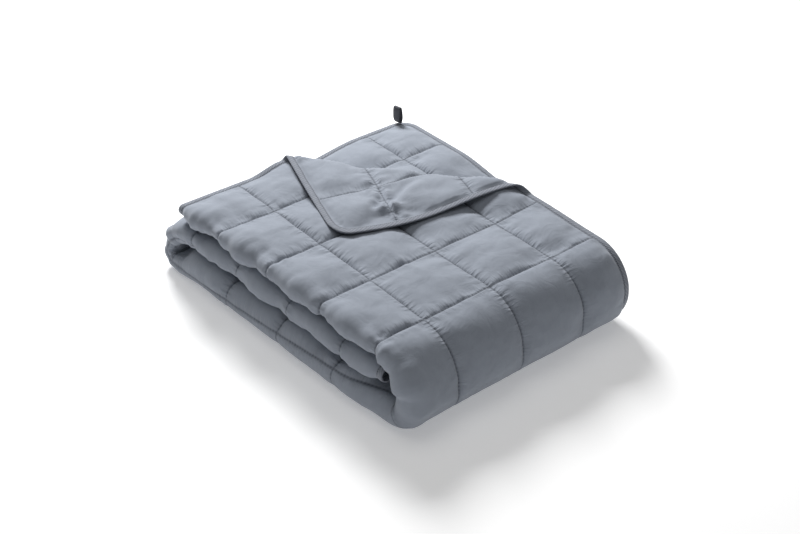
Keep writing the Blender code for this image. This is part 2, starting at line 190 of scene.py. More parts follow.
# %% The turned back corner
def turn_corner(x, y, z, on_upper_sheet):
    """Past the crease the sheet runs round a half circle and comes back above itself."""
    crease = (TURN_END - TURN_START) / np.linalg.norm(TURN_END - TURN_START)
    away = np.array((-crease[1], crease[0]))
    along = (x - TURN_START[0]) * crease[0] + (y - TURN_START[1]) * crease[1]
    past = (x - TURN_START[0]) * away[0] + (y - TURN_START[1]) * away[1]
    share = np.clip(along / TURN_SHAPE[-1, 0], 0, 1)
    bow_share = np.clip((along - FLAP_BOW_SPAN[0]) / (FLAP_BOW_SPAN[1] - FLAP_BOW_SPAN[0]), 0, 1)
    past = past + CREASE_BOW * np.sin(math.pi * share) * smooth(1 + past / CREASE_BOW_REACH)
    radius, lift, reach = (read_table(TURN_SHAPE, along, k) for k in (1, 2, 3))
    rise = lift * smooth(1 + past / reach)
    angle = np.clip(past / radius, 0, math.pi)
    beyond = np.maximum(past - math.pi * radius, 0)
    top = rise + 2 * radius
    height = np.where(beyond > 0, top + (FLAP_REST - top) * smooth(beyond / SETTLE_RUN),
                      rise + radius * (1 - np.cos(angle)))
    bow = FLAP_BOW * np.sin(math.pi * bow_share) * smooth(beyond / FLAP_BOW_REACH)
    shift = np.where(past > 0, radius * np.sin(angle) - beyond - past - bow, 0.0)
    height, shift = (np.where(on_upper_sheet, value, 0.0) for value in (height, shift))
    return x + shift * away[0], y + shift * away[1], z + height


print(f"the crease is {np.linalg.norm(TURN_END - TURN_START) * CELL * 1000:.0f} mm long")


# %% [markdown]
# ## Rounded corners, and everything together
# The cloth's corners are cut round so that the tape can follow them.  Cutting a mesh would leave
# ragged squares; drawing the square corners in keeps the grid whole.  After that the width is bent
# round a hairpin, the length follows its path, and the corner turns.

# %% Rounded corners and the whole mapping
def round_corners(across, along):
    """Pulls the flat blanket's square corners in to quarter circles, edge-parallel lines included."""
    to_side = np.minimum(across, WIDTH - across)
    to_end = np.minimum(along, LENGTH - along)
    a, b = 1 - to_side / CORNER_ROUND, 1 - to_end / CORNER_ROUND
    near = (a > 0) & (b > 0)
    a, b = np.maximum(a, 1e-9), np.maximum(b, 1e-9)
    shrink = np.where(near, np.maximum(a, b) / np.hypot(a, b), 1.0)
    new_side = np.where(near, CORNER_ROUND * (1 - a * shrink), to_side)
    new_end = np.where(near, CORNER_ROUND * (1 - b * shrink), to_end)
    across = np.where(across < WIDTH / 2, new_side, WIDTH - new_side)
    return across, np.where(along < LENGTH / 2, new_end, LENGTH - new_end)


def middle_surface(across, along):
    """Middle of the cloth: over the top from the right edge, round the hairpin, and back below."""
    across, along = round_corners(across, along)
    y, z, face_y, face_z = course_point(along)
    half = read_table(BAND, along, 1) / 2
    side = LEFT_SIDE - SIDE_SKEW * (y - BACK_EDGE) - read_table(BAND, along, 2)
    centre = side + half
    outer_run = RIGHT_EDGE - centre
    bend = math.pi * half
    angle = np.clip((across - outer_run) / half, 0, math.pi)
    back = np.maximum(across - outer_run - bend, 0)
    x = np.where(across < outer_run, RIGHT_EDGE - across, centre - half * np.sin(angle))
    x = np.where(back > 0, centre + back * (INNER_EDGE - centre) / (WIDTH - outer_run - bend), x)
    depth = half * (1 - np.cos(angle))
    upper = (along < TOP_BAND_END) & (across < outer_run)
    under = (along < TOP_BAND_END) & (back > 0)
    corner = smooth((x - CORNER_RISE_X[0]) / CORNER_RISE_X[1])
    corner = corner * smooth((y - CORNER_RISE_Y[0]) / CORNER_RISE_Y[1])
    z = z + np.where(under, CORNER_RISE * corner, 0.0)
    x, y, z = turn_corner(x, y - depth * face_y, z - depth * face_z, upper)
    return np.stack((x, y, z), axis=-1)


def surface_normal(across, along):
    """Direction of the outer face: the cross product of two small steps on the middle surface."""
    over = middle_surface(across + NORMAL_STEP, along) - middle_surface(across - NORMAL_STEP, along)
    down = middle_surface(across, along + NORMAL_STEP) - middle_surface(across, along - NORMAL_STEP)
    normal = np.cross(over, down)
    return normal / np.maximum(np.linalg.norm(normal, axis=-1, keepdims=True), 1e-12)


def to_metres(points):
    """From cells to metres, with the frame's origin."""
    return (points - ORIGIN) * CELL


# %% [markdown]
# ## The quilting
# Between two seams the filling swells the cloth, steeply near the stitches and gently in the
# middle.  Each seam also draws the cloth up, so short ridges stand across it and fade away.

# %% Distances to the seams
def nearest(values, seams):
    """Distance to the nearest seam and that seam's number."""
    index = np.clip(np.searchsorted(seams, values), 1, len(seams) - 1)
    left, right = values - seams[index - 1], seams[index] - values
    left, right = np.abs(left), np.abs(right)
    return np.minimum(left, right), np.where(left < right, index - 1, index)


ALL_LONG = np.concatenate(([BINDING], LONG_SEAMS, [WIDTH - BINDING]))
ALL_CROSS = np.concatenate(([BINDING], CROSS_SEAMS, [LENGTH - BINDING]))


# %% [markdown]
# ## How thick each square is
# A stitched square is a small pillow.  It could be inflated by simulation.  Here it is a section
# curve, which is the same every time: one for the width of a square and one for its length,
# multiplied.  Squares that other layers lie on are flatter.

# %% Thickness of the quilted cloth
OUTER, INNER = 0, 1          # the two faces of the cloth
SEAM_HALF = 1.3 * MM         # half the thickness at a stitched line
CROWN = 14.5 * MM            # how far a square swells above that, on a face that shows
HIDDEN, TURNED = 0.28, 0.85  # share of the crown inside the fold, and where the inner face is turned out
COVERED_LOSS = 0.38          # share that the outer face loses where other layers lie on it
UNEVEN = 0.16                # how much the fullness differs from place to place
BOTTOM = 4.0 * MM            # extra fullness of the squares that rest on the floor
BOTTOM_LOSS = 0.35           # share of the crown that they lose to the weight
CRESCENT = 6.0 * MM          # extra fullness of the lowest roll, above its lengthwise seam
PRESSED = 9.0 * MM           # even half thickness where the weight presses the lowest edges
PRESSED_SHARE = 0.8
PUCKER = 4.0 * MM            # height of the ridges at a seam
PUCKER_REACH = 0.15          # and how far into the square they reach
FINE_PUCKER, BROAD_PUCKER = (0.075, 0.30), (0.19, 0.50)    # spacing along the seam, and away from it
SIDE_PUCKER, GATHERED_PUCKER = 0.5, 3.0        # added at the doubled edge, and times that on one seam

# spans of the flat cloth that are shaped apart: from, to
PUCKERED_SIDE, PLEATED_SIDE, CREASED_SIDE = (3.4, 4.2), (3.45, 4.2), (3.50, 4.35)
FRONT_BEND, BACK_BEND = (4.15, 5.3), (9.5, 10.3)
GATHERED_ACROSS, GATHERED_ALONG = (0.2, 1.5), (0.8, 1.0)
DRAWN_SEAM = (0.25, 0.75)
LOW_SIDE, LOW_LENGTH, LOW_FRONT = (3.50, 3.74), (5.0, 9.6), (5.02, 5.22)
ROLL_SIDE, ROLL_LENGTH = (3.86, 4.35), (5.2, 9.2)


def puckers(along_seam, from_seam, seam_number, seed):
    """Ridges across a seam: noise that changes fast along it and slowly away from it."""
    shifted = along_seam + 7.3 * seam_number
    fine = noise(shifted, from_seam, *FINE_PUCKER, seed)
    broad = noise(shifted, from_seam, *BROAD_PUCKER, seed + 1)
    fade = np.exp(-from_seam / PUCKER_REACH) * smooth(from_seam / 0.04)
    wide = np.exp(-from_seam / (2.4 * PUCKER_REACH)) * smooth(from_seam / 0.08)
    return 0.7 * fine * fade + 1.1 * broad * wide


def swelling(from_seam):
    """A pillow's section: steep at the stitches, level in the middle of the square."""
    return (1 - (1 - np.clip(from_seam / 0.5, 0, 1)) ** 2.3) ** 0.66


def between(value, span, fade):
    """1 inside the span, falling to 0 over the fade outside it."""
    return smooth((value - span[0]) / fade + 1) * smooth((span[1] - value) / fade + 1)


def shown(across, along, face):
    """1 where a face can be seen or pressed full, less where it lies hidden in the fold."""
    if face == OUTER:
        middle_band = smooth((along - 10.4) / 0.5) * smooth((3.5 - across) / 0.4)
        covered = np.maximum(smooth((across - 3.95) / 0.3), middle_band)
        return 1 - COVERED_LOSS * covered
    flap = smooth((2.9 - across - 0.75 * along) / 0.4)
    corner = smooth((across - 5.2) / 0.5) * smooth((2.6 - along) / 0.5)
    return HIDDEN + (TURNED - HIDDEN) * np.maximum(flap, corner)


# %% [markdown]
# ## Creases, pleats and gathers
# Where thick cloth goes round a bend its inner side has too much length, which shows as creases.
# They could be sculpted by hand; noise that is long one way and short the other gives the same
# folds, and a span says where they lie.

# %% Creases, pleats and gathers
SIDE_CREASE = 6.0 * MM       # height of the creases where the doubled edge bends round a fold
PLEAT = 1.2 * MM             # height of the small pleats along the doubled edge
GATHER, GATHER_REACH = 8.5 * MM, 0.42          # gathers round one point of the turned corner
GATHER_AT = (0.45, 0.93)
DRAWN, DRAWN_REACH = 7.0 * MM, 0.20            # gathers along that corner's first cross seam


def corner_gathers(across, along):
    """Rays round one point, and slanting folds along the first cross seam."""
    a, b = across - GATHER_AT[0], along - GATHER_AT[1]
    reach = np.hypot(a, b)
    rays = noise(np.arctan2(b, a), reach, 0.30, 0.25, 71)
    aside = np.abs(along - CROSS_SEAMS[0])
    drawn = noise(across + 0.8 * aside, aside, 0.10, 0.40, 75) * np.exp(-aside / DRAWN_REACH)
    return (GATHER * rays * np.exp(-reach / GATHER_REACH) * smooth(reach / 0.10)
            + DRAWN * drawn * smooth(aside / 0.03) * between(across, DRAWN_SEAM, 0.15))


def creases(across, along, face):
    """Extra creases: where the hairpin bends round the two folds, and on the turned corner."""
    pleats = PLEAT * noise(along, across, 0.085, 0.60, 81 + face) * between(across, PLEATED_SIDE, 0.25)
    fold = np.maximum(between(along, FRONT_BEND, 0.5), 0.3 * between(along, BACK_BEND, 0.3))
    bent = noise(across + 0.5 * along, along, 0.30, 0.11, 61 + face)
    high = SIDE_CREASE * fold * between(across, CREASED_SIDE, 0.35) * bent + pleats
    return high + corner_gathers(across, along) if face == INNER else high


# %% [markdown]
# ## All of it in one thickness
# The blanket's weight presses the lowest edges against the floor.  A collision with a floor
# would do this too; here the pressed edges are blended towards one even thickness.

# %% Half the thickness, from all of these
def under_weight(thick, swell, across, along):
    """The lowest squares are fuller, and their edges are pressed to an even thickness."""
    resting = smooth((along - 4.9) / 0.5) * smooth((9.9 - along) / 0.6)
    roll = between(across, ROLL_SIDE, 0.20) * between(along, ROLL_LENGTH, 0.5)
    thick = thick + (BOTTOM - BOTTOM_LOSS * CROWN) * swell * resting + CRESCENT * swell * roll
    low_edge = between(across, LOW_SIDE, 0.16) * between(along, LOW_LENGTH, 0.35)
    low_front = between(along, LOW_FRONT, 0.22) * smooth((3.7 - across) / 0.2)
    pressed = PRESSED_SHARE * np.maximum(low_edge, low_front)
    return thick * (1 - pressed) + PRESSED * pressed


def half_thickness(across, along, face):
    """Half the cloth's thickness on one face: seam allowance, crown, puckers and creases."""
    from_long, long_number = nearest(across, ALL_LONG)
    from_cross, cross_number = nearest(along, ALL_CROSS)
    swell = swelling(from_long) * swelling(from_cross)
    uneven = 1 + UNEVEN * noise(across, along, 0.45, 0.45, 11 + face)
    ridges = puckers(along, from_long, long_number, 21 + face)
    ridges = ridges + puckers(across, from_cross, cross_number, 31 + face)
    inside = (across > BINDING) & (across < WIDTH - BINDING)
    inside = inside & (along > BINDING) & (along < LENGTH - BINDING)
    share = shown(across, along, face)
    stronger = between(across, PUCKERED_SIDE, 0.2)
    if face == INNER:
        gathered = between(along, GATHERED_ALONG, 0.3) * between(across, GATHERED_ACROSS, 0.3)
        stronger = stronger + GATHERED_PUCKER * gathered
    thick = SEAM_HALF + CROWN * swell * uneven * share
    thick = thick + PUCKER * (1 + SIDE_PUCKER * stronger) * ridges * share
    thick = thick + creases(across, along, face)
    if face == OUTER:
        thick = under_weight(thick, swell, across, along)
    return np.where(inside, np.maximum(thick, SEAM_HALF), SEAM_HALF)


sample = half_thickness(np.array([EDGE_COLUMN + 0.5]), np.array([CROSS_SEAMS[0] + 0.5]), OUTER)[0]
print(f"a square on top swells to {sample / MM:.1f} mm above the middle of the cloth")


# %% [markdown]
# ## The body: two skins on one middle surface
# The two faces of the cloth show in different places, so each gets a grid of its own that is fine
# where it shows and coarse where it is hidden.  A strip joins the two grids round the edge.

# %% Grid lines for the two skins
def grid_lines(length, seams, zones):
    """Lines from 0 to length, each span between seams divided by its zone's spacing.

    Spacing is squeezed towards the seams, where the cloth bends most."""
    marks = np.concatenate(([0.0], seams, [length]))
    lines = [np.array([0.0])]
    for low, high in zip(marks[:-1], marks[1:]):
        spacing = next(step for end, step in zones if (low + high) / 2 <= end)
        share = np.arange(1, max(2, round((high - low) / spacing)) + 1)
        share = share / share[-1]
        lines.append(low + (high - low) * (share - 0.35 * np.sin(2 * math.pi * share) / (2 * math.pi)))
    return np.concatenate(lines)


# each zone: where it ends, and its spacing
OUTER_ACROSS = grid_lines(WIDTH, ALL_LONG, ((4.3, 0.031), (9.0, 0.16)))
OUTER_ALONG = grid_lines(LENGTH, ALL_CROSS,
                         ((5.4, 0.031), (9.7, 0.055), (11.0, 0.040), (20.0, 0.075)))
INNER_ACROSS = grid_lines(WIDTH, ALL_LONG, ((2.4, 0.034), (4.7, 0.10), (9.0, 0.034)))
INNER_ALONG = grid_lines(LENGTH, ALL_CROSS, ((2.8, 0.034), (3.9, 0.08), (20.0, 0.12)))
print("outer grid", len(OUTER_ACROSS), "x", len(OUTER_ALONG))
print("inner grid", len(INNER_ACROSS), "x", len(INNER_ALONG))


# %% [markdown]
# ## From grids to a mesh
# Each grid point is the middle surface moved half the thickness along its normal.  Arrays of points
# and faces are handed to Blender in one call, as thousands of single calls would be slow.

# %% Build the skins
def skin(across_lines, along_lines, face):
    """Grid of points on one face: the middle surface moved half the thickness along its normal."""
    across, along = np.meshgrid(across_lines, along_lines)
    thick = half_thickness(across, along, face)[..., None]
    side = 1 if face == OUTER else -1
    points = to_metres(middle_surface(across, along) + side * thick * surface_normal(across, along))
    points[..., 2] = np.maximum(points[..., 2], 0.0)
    return points, across, along


def grid_faces(rows, columns, offset, flip):
    """Quads of a grid, as one array; flip turns them to face the other way."""
    i, j = np.meshgrid(np.arange(rows - 1), np.arange(columns - 1), indexing="ij")
    a = (offset + i * columns + j).ravel()
    quads = np.stack((a, a + columns, a + columns + 1, a + 1), axis=1)
    return quads[:, ::-1] if flip else quads


def tube_quads(count, sides, closed, flip):
    """Quads between sections that are rings of points; closed joins the last ring to the first."""
    i, j = np.meshgrid(np.arange(count if closed else count - 1), np.arange(sides), indexing="ij")
    after_i, after_j = (i + 1) % count, (j + 1) % sides
    a, b = i * sides + j, i * sides + after_j
    c, d = after_i * sides + after_j, after_i * sides + j
    return np.stack((a, d, c, b) if flip else (a, b, c, d), axis=-1).reshape(-1, 4)


def zip_lines(first, first_places, second, second_places):
    """Triangles between two rows of points that share their ends but not their spacing.

    Each segment is joined to the point that the other row has reached at the segment's middle."""
    middle_a = (first_places[1:] + first_places[:-1]) / 2
    middle_b = (second_places[1:] + second_places[:-1]) / 2
    apex_a = second[np.searchsorted(middle_b, middle_a)]
    apex_b = first[np.searchsorted(middle_a, middle_b, side="right")]
    return np.concatenate((np.stack((first[:-1], first[1:], apex_a), axis=1),
                           np.stack((second[1:], second[:-1], apex_b), axis=1)))


def mesh_object(name, points, quads, triangles, material):
    """A mesh from arrays of points, quads and triangles, shaded smooth."""
    mesh = bpy.data.meshes.new(name)
    sizes = np.concatenate((np.full(len(quads), 4), np.full(len(triangles), 3))).astype(np.int32)
    corners = np.concatenate((quads.ravel(), triangles.ravel())).astype(np.int32)
    mesh.vertices.add(len(points))
    mesh.vertices.foreach_set("co", points.astype(np.float32).ravel())
    mesh.loops.add(len(corners))
    mesh.loops.foreach_set("vertex_index", corners)
    mesh.polygons.add(len(sizes))
    starts = np.concatenate(([0], np.cumsum(sizes)[:-1])).astype(np.int32)
    mesh.polygons.foreach_set("loop_start", starts)
    mesh.update(calc_edges=True)
    mesh.validate()
    mesh.shade_smooth()
    mesh.materials.append(material)
    made = bpy.data.objects.new(name, mesh)
    bpy.context.scene.collection.objects.link(made)
    return made


def set_uv(made, name, flat_places):
    """A UV map that holds the flat cloth's own coordinates at each vertex."""
    mesh = made.data
    corner = np.zeros(len(mesh.loops), dtype=np.int32)
    mesh.loops.foreach_get("vertex_index", corner)
    layer = mesh.uv_layers.new(name=name)
    layer.uv.foreach_set("vector", flat_places[corner].astype(np.float32).ravel())


def set_number(made, name, values):
    """A number at each vertex, for the materials to read."""
    attribute = made.data.attributes.new(name, "FLOAT", "POINT")
    attribute.data.foreach_set("value", values.astype(np.float32))


def blanket_body(material):
    """The filled cloth as one closed mesh."""
    outer, outer_across, outer_along = skin(OUTER_ACROSS, OUTER_ALONG, OUTER)
    inner, inner_across, inner_along = skin(INNER_ACROSS, INNER_ALONG, INNER)
    points = np.concatenate((outer.reshape(-1, 3), inner.reshape(-1, 3)))
    offset = outer.shape[0] * outer.shape[1]
    quads = np.concatenate((grid_faces(*outer.shape[:2], 0, True),
                            grid_faces(*inner.shape[:2], offset, False)))
    number_a = np.arange(offset).reshape(outer.shape[:2])
    number_b = offset + np.arange(inner.shape[0] * inner.shape[1]).reshape(inner.shape[:2])
    rims = [
        zip_lines(number_a[0], OUTER_ACROSS, number_b[0], INNER_ACROSS)[:, ::-1],
        zip_lines(number_a[-1], OUTER_ACROSS, number_b[-1], INNER_ACROSS),
        zip_lines(number_a[:, 0], OUTER_ALONG, number_b[:, 0], INNER_ALONG),
        zip_lines(number_a[:, -1], OUTER_ALONG, number_b[:, -1], INNER_ALONG)[:, ::-1],
    ]
    body = mesh_object("quilted_cloth", points, quads, np.concatenate(rims), material)
    across = np.concatenate((outer_across.ravel(), inner_across.ravel()))
    along = np.concatenate((outer_along.ravel(), inner_along.ravel()))
    set_uv(body, "flat_cloth", np.stack((across, along), axis=1) * CELL)
    set_number(body, "from_long_seam", nearest(across, LONG_SEAMS)[0] * CELL)
    set_number(body, "from_cross_seam", nearest(along, CROSS_SEAMS)[0] * CELL)
    triangles = 2 * len(quads) + sum(len(rim) for rim in rims)
    print("quilted cloth:", len(points), "points,", triangles, "triangles")
    return body


# %% [markdown]
# ## The binding
# The edge is closed by a tape folded over it.  It is a rounded profile carried round the whole
# edge on the same mapping, so it follows every fold.  Stitching pulls it into small ripples.

# %% Build the binding
def inset(across, along, inward):
    """Moves points of the edge inwards: square to a side, and towards the centre of a corner."""
    to_side = np.minimum(across, WIDTH - across)
    to_end = np.minimum(along, LENGTH - along)
    shrink = 1 - inward / CORNER_ROUND
    on_end = to_end <= to_side
    drawn_side = CORNER_ROUND - shrink * (CORNER_ROUND - to_side)
    drawn_end = CORNER_ROUND - shrink * (CORNER_ROUND - to_end)
    new_side = np.where(on_end & (to_side < CORNER_ROUND), drawn_side, to_side)
    new_end = np.where(~on_end & (to_end < CORNER_ROUND), drawn_end, to_end)
    new_end = np.where(on_end, inward, new_end)
    new_side = np.where(on_end, new_side, inward)
    return (np.where(across < WIDTH / 2, new_side, WIDTH - new_side),
            np.where(along < LENGTH / 2, new_end, LENGTH - new_end))


TAPE_STEP, TAPE_SIDES = 0.022, 16              # spacing of the sections in cells, points in each
TAPE_OUT = 1.6 * MM          # how far the tape stands past the cloth's edge
TAPE_HALF = 2.0 * MM         # half its thickness over all
TAPE_BOXINESS = 0.45         # 1 is an ellipse, less is squarer
FINE_RIPPLE, BROAD_RIPPLE, UNEVEN_WIDTH = (0.16, 0.045), (0.12, 0.13), (0.07, 0.10)   # size, spacing


def edge_walk():
    """Flat places of the edge in order, once round, and the distance walked."""
    a = np.linspace(0, WIDTH, int(WIDTH / TAPE_STEP))[:-1]
    b = np.linspace(0, LENGTH, int(LENGTH / TAPE_STEP))[:-1]
    across = np.concatenate((a, np.full(len(b), WIDTH), WIDTH - a, np.zeros(len(b))))
    along = np.concatenate((np.zeros(len(a)), b, np.full(len(a), LENGTH), LENGTH - b))
    walked = np.concatenate((a, WIDTH + b, WIDTH + LENGTH + a, 2 * WIDTH + LENGTH + b))
    return across, along, walked


def tape_profile():
    """Section of the tape: a flattened round from past the cloth's edge to the tape's inner rim."""
    turn = np.linspace(0, 2 * math.pi, TAPE_SIDES + 1)[:-1]
    inward = (BINDING - TAPE_OUT) / 2 + (BINDING + TAPE_OUT) / 2 * np.cos(turn)
    height = TAPE_HALF * np.sign(np.sin(turn)) * np.abs(np.sin(turn)) ** TAPE_BOXINESS
    return inward, height


def along_edge(walked, wave, seed):
    """Noise of one size and spacing along the edge."""
    size, spacing = wave
    return size * noise(walked, 0 * walked, spacing, 1.0, seed)


def edge_binding(material):
    """The tape: its profile carried round the edge, rippled and slightly uneven in width."""
    across, along, walked = edge_walk()
    inward, height = tape_profile()
    ripple = 1 + along_edge(walked, FINE_RIPPLE, 51) + along_edge(walked, BROAD_RIPPLE, 52)
    width = 1 + along_edge(walked, UNEVEN_WIDTH, 53)
    columns = []
    for place, level in zip(inward, height):
        wanted = np.maximum(place, 0) * width
        a, b = inset(across, along, wanted)
        point = middle_surface(a, b)
        normal = surface_normal(a, b)
        edge = middle_surface(*inset(across, along, np.zeros_like(wanted)))
        inner = middle_surface(*inset(across, along, np.full_like(wanted, 0.02)))
        out = (edge - inner) / np.linalg.norm(edge - inner, axis=-1, keepdims=True)
        point = point + out * max(-place, 0) + normal * (level * ripple)[:, None]
        columns.append(to_metres(point))
    grid = np.stack(columns, axis=1)
    count, sides = grid.shape[:2]
    quads = tube_quads(count, sides, closed=True, flip=False)
    tape = mesh_object("edge_tape", grid.reshape(-1, 3), quads, np.zeros((0, 3), int), material)
    flat = np.stack(np.broadcast_arrays(walked[:, None], np.arange(sides)[None, :] / sides), axis=-1)
    set_uv(tape, "flat_tape", flat.reshape(-1, 2) * (CELL, 1.0))
    print("binding:", count, "sections of", sides, "points")
    return tape


# %% [markdown]
# ## The corner loop
# A ribbon is a flat rectangle carried along a path: up, round the top and down again, pinched
# together where it is sewn on.

# %% Build the loop
LOOP_LOW, LOOP_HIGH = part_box("corner_loop")
RIBBON_WIDTH, RIBBON_THICK = 0.0175, 0.0015
LOOP_GAP, LOOP_TWIST, LOOP_LEAN = 0.0100, math.radians(10.0), 0.06
LOOP_PINCH = 0.011           # height over which the two legs come together at the foot
LOOP_POINTS, RIBBON_SIDES = 61, 20
RIBBON_LENGTHS = 2.2         # length of the ribbon, as a multiple of the loop's height


def signed_power(value, power):
    """A power that keeps the sign, for rounded rectangles."""
    return np.sign(value) * np.abs(value) ** power


def loop_path(low, high):
    """Places along the ribbon's middle, and the way that the loop's hole looks."""
    hole = np.array((math.sin(LOOP_TWIST), -math.cos(LOOP_TWIST), 0.0))
    apart = np.array((math.cos(LOOP_TWIST), math.sin(LOOP_TWIST), 0.0))
    height = high[2] - low[2]
    foot = np.array(((low[0] + high[0]) / 2, (low[1] + high[1]) / 2, low[2]))
    foot = foot + apart * LOOP_LEAN * height / 2
    share = np.linspace(0, 1, LOOP_POINTS)
    radius = LOOP_GAP / 2 + RIBBON_THICK / 2
    side = np.sign(share - 0.5)
    up = (height - RIBBON_THICK / 2) * (1 - np.abs(2 * share - 1) ** 2.6)
    opened = np.clip(up / LOOP_PINCH, 0, 1)
    out = radius * side * np.abs(np.sin((share - 0.5) * math.pi)) ** 0.8 * opened ** 0.7
    out = out + side * RIBBON_THICK * 0.55 * (1 - opened)
    path = foot + apart * (out - LOOP_LEAN * up)[:, None] + np.array((0, 0, 1.0)) * up[:, None]
    return path, hole, share * RIBBON_LENGTHS * height


def corner_loop(material):
    """The ribbon: a rounded rectangle carried along an upright loop."""
    path, hole, run = loop_path(np.array(LOOP_LOW), np.array(LOOP_HIGH))
    tangent = np.gradient(path, axis=0)
    tangent /= np.linalg.norm(tangent, axis=1, keepdims=True)
    facing = np.cross(hole, tangent)
    around = np.linspace(0, 2 * math.pi, RIBBON_SIDES + 1)[:-1]
    wide = RIBBON_WIDTH / 2 * signed_power(np.cos(around), 0.25)
    thick = RIBBON_THICK / 2 * signed_power(np.sin(around), 0.6)
    grid = path[:, None] + hole * wide[None, :, None] + facing[:, None] * thick[None, :, None]
    count, sides = grid.shape[:2]
    quads = tube_quads(count, sides, closed=False, flip=True)
    points = np.concatenate((grid.reshape(-1, 3), path[[0, -1]]))
    start, end = count * sides, count * sides + 1
    rim = np.arange(sides)
    after, last = (rim + 1) % sides, (count - 1) * sides
    caps = np.concatenate((np.stack((np.full(sides, start), rim, after), axis=1),
                           np.stack((np.full(sides, end), last + after, last + rim), axis=1)))
    loop = mesh_object("hanging_loop", points, quads, caps, material)
    flat = np.stack(np.broadcast_arrays(run[:, None], wide[None, :]), axis=-1).reshape(-1, 2)
    set_uv(loop, "flat_ribbon", np.concatenate((flat, flat[:2])))
    print("loop:", count, "sections of", sides, "points")
    return loop


# %% [markdown]
# ## Materials
# Cotton is matt: light enters the fibres and comes back in all directions, so roughness is high
# and a little sheen stands for the fuzz.  Colours are written as hex values and turned linear.

# %% Colour and node helpers
def linear(code):
    """Linear red, green, blue and alpha from an sRGB hex code."""
    parts = [int(code[k:k + 2], 16) / 255 for k in (1, 3, 5)]
    return (*[c / 12.92 if c <= 0.04045 else ((c + 0.055) / 1.055) ** 2.4 for c in parts], 1.0)


def node(tree, kind, inputs=None, **settings):
    """Adds a node, sets its settings, and fills its sockets with values or links."""
    made = tree.nodes.new(kind)
    for name, value in settings.items():
        setattr(made, name, value)
    for name, value in (inputs or {}).items():
        if isinstance(value, bpy.types.NodeSocket):
            tree.links.new(value, made.inputs[name])
        else:
            made.inputs[name].default_value = value
    return made


def maths(tree, operation, *values):
    """Result of a maths node, from one or two numbers or sockets."""
    return node(tree, "ShaderNodeMath", dict(enumerate(values)), operation=operation).outputs[0]


def mapped(tree, value, span, result, kind="LINEAR"):
    """A value carried from one span to another, and held at its ends."""
    inputs = {0: value, 1: span[0], 2: span[1], 3: result[0], 4: result[1]}
    return node(tree, "ShaderNodeMapRange", inputs, interpolation_type=kind).outputs[0]


def blend(tree, share, first, second):
    """Two colours mixed by a share: 0 is the first, 1 the second."""
    return node(tree, "ShaderNodeMix", {0: share, 6: first, 7: second}, data_type="RGBA").outputs[2]


def fibre_noise(tree, place, scale, detail, roughness=0.5, distortion=0.0):
    """Fractal noise at a place on the cloth; the scale counts features per metre, roughly."""
    inputs = {"Vector": place, "Scale": scale, "Detail": detail, "Roughness": roughness,
              "Distortion": distortion}
    return node(tree, "ShaderNodeTexNoise", inputs).outputs["Fac"]


def relief(tree, height, strength, distance, under=None, invert=False):
    """A bump from a height, laid over the normal of the relief under it."""
    inputs = {"Strength": strength, "Distance": distance, "Height": height}
    if under is not None:
        inputs["Normal"] = under
    return node(tree, "ShaderNodeBump", inputs, invert=invert).outputs[0]


def dashes(tree, run, spacing, gap):
    """Stitches along a line: a sine of the distance run, from the gap's value to 1."""
    wave = maths(tree, "SINE", maths(tree, "MULTIPLY", run, 2 * math.pi / spacing))
    return mapped(tree, wave, (-0.3, 0.5), (gap, 1.0))


def new_material(name, roughness, sheen):
    """A material with a Principled shader for cloth."""
    material = bpy.data.materials.new(name)
    material.use_nodes = True
    shader = material.node_tree.nodes["Principled BSDF"]
    shader.inputs["Roughness"].default_value = roughness
    shader.inputs["IOR"].default_value = 1.45
    shader.inputs["Specular IOR Level"].default_value = 0.25
    shader.inputs["Sheen Weight"].default_value = sheen
    shader.inputs["Sheen Roughness"].default_value = 0.5
    return material, material.node_tree, shader


# %% [markdown]
# ## Brushed cotton
# The cover is a fine plain weave, too fine to model as threads, so it is relief: grain, slack
# creases, gathers that fade away from the seams, and the stitches.  Along each seam the colour also
# darkens to painted shade of the seam's groove, dashed with the stitches.  All of it reads the flat
# cloth's own coordinates, in metres, so it folds with the cloth.

# %% Brushed cotton of the blanket
# the third colour is painted shade for the seam grooves, with the stitches dashed into it
COTTON_DEEP, COTTON_PALE, COTTON_GROOVE_SHADE = "#8B919C", "#9AA1AC", "#4C5059"
SEAM_STITCH, TAPE_STITCH = 0.0070, 0.0042      # length of a stitch with its gap, in metres
GROOVE_SHADE_SHARE = 0.70             # how far the seam line, painted shade of the seam's groove dashed with stitches, goes to the dark colour
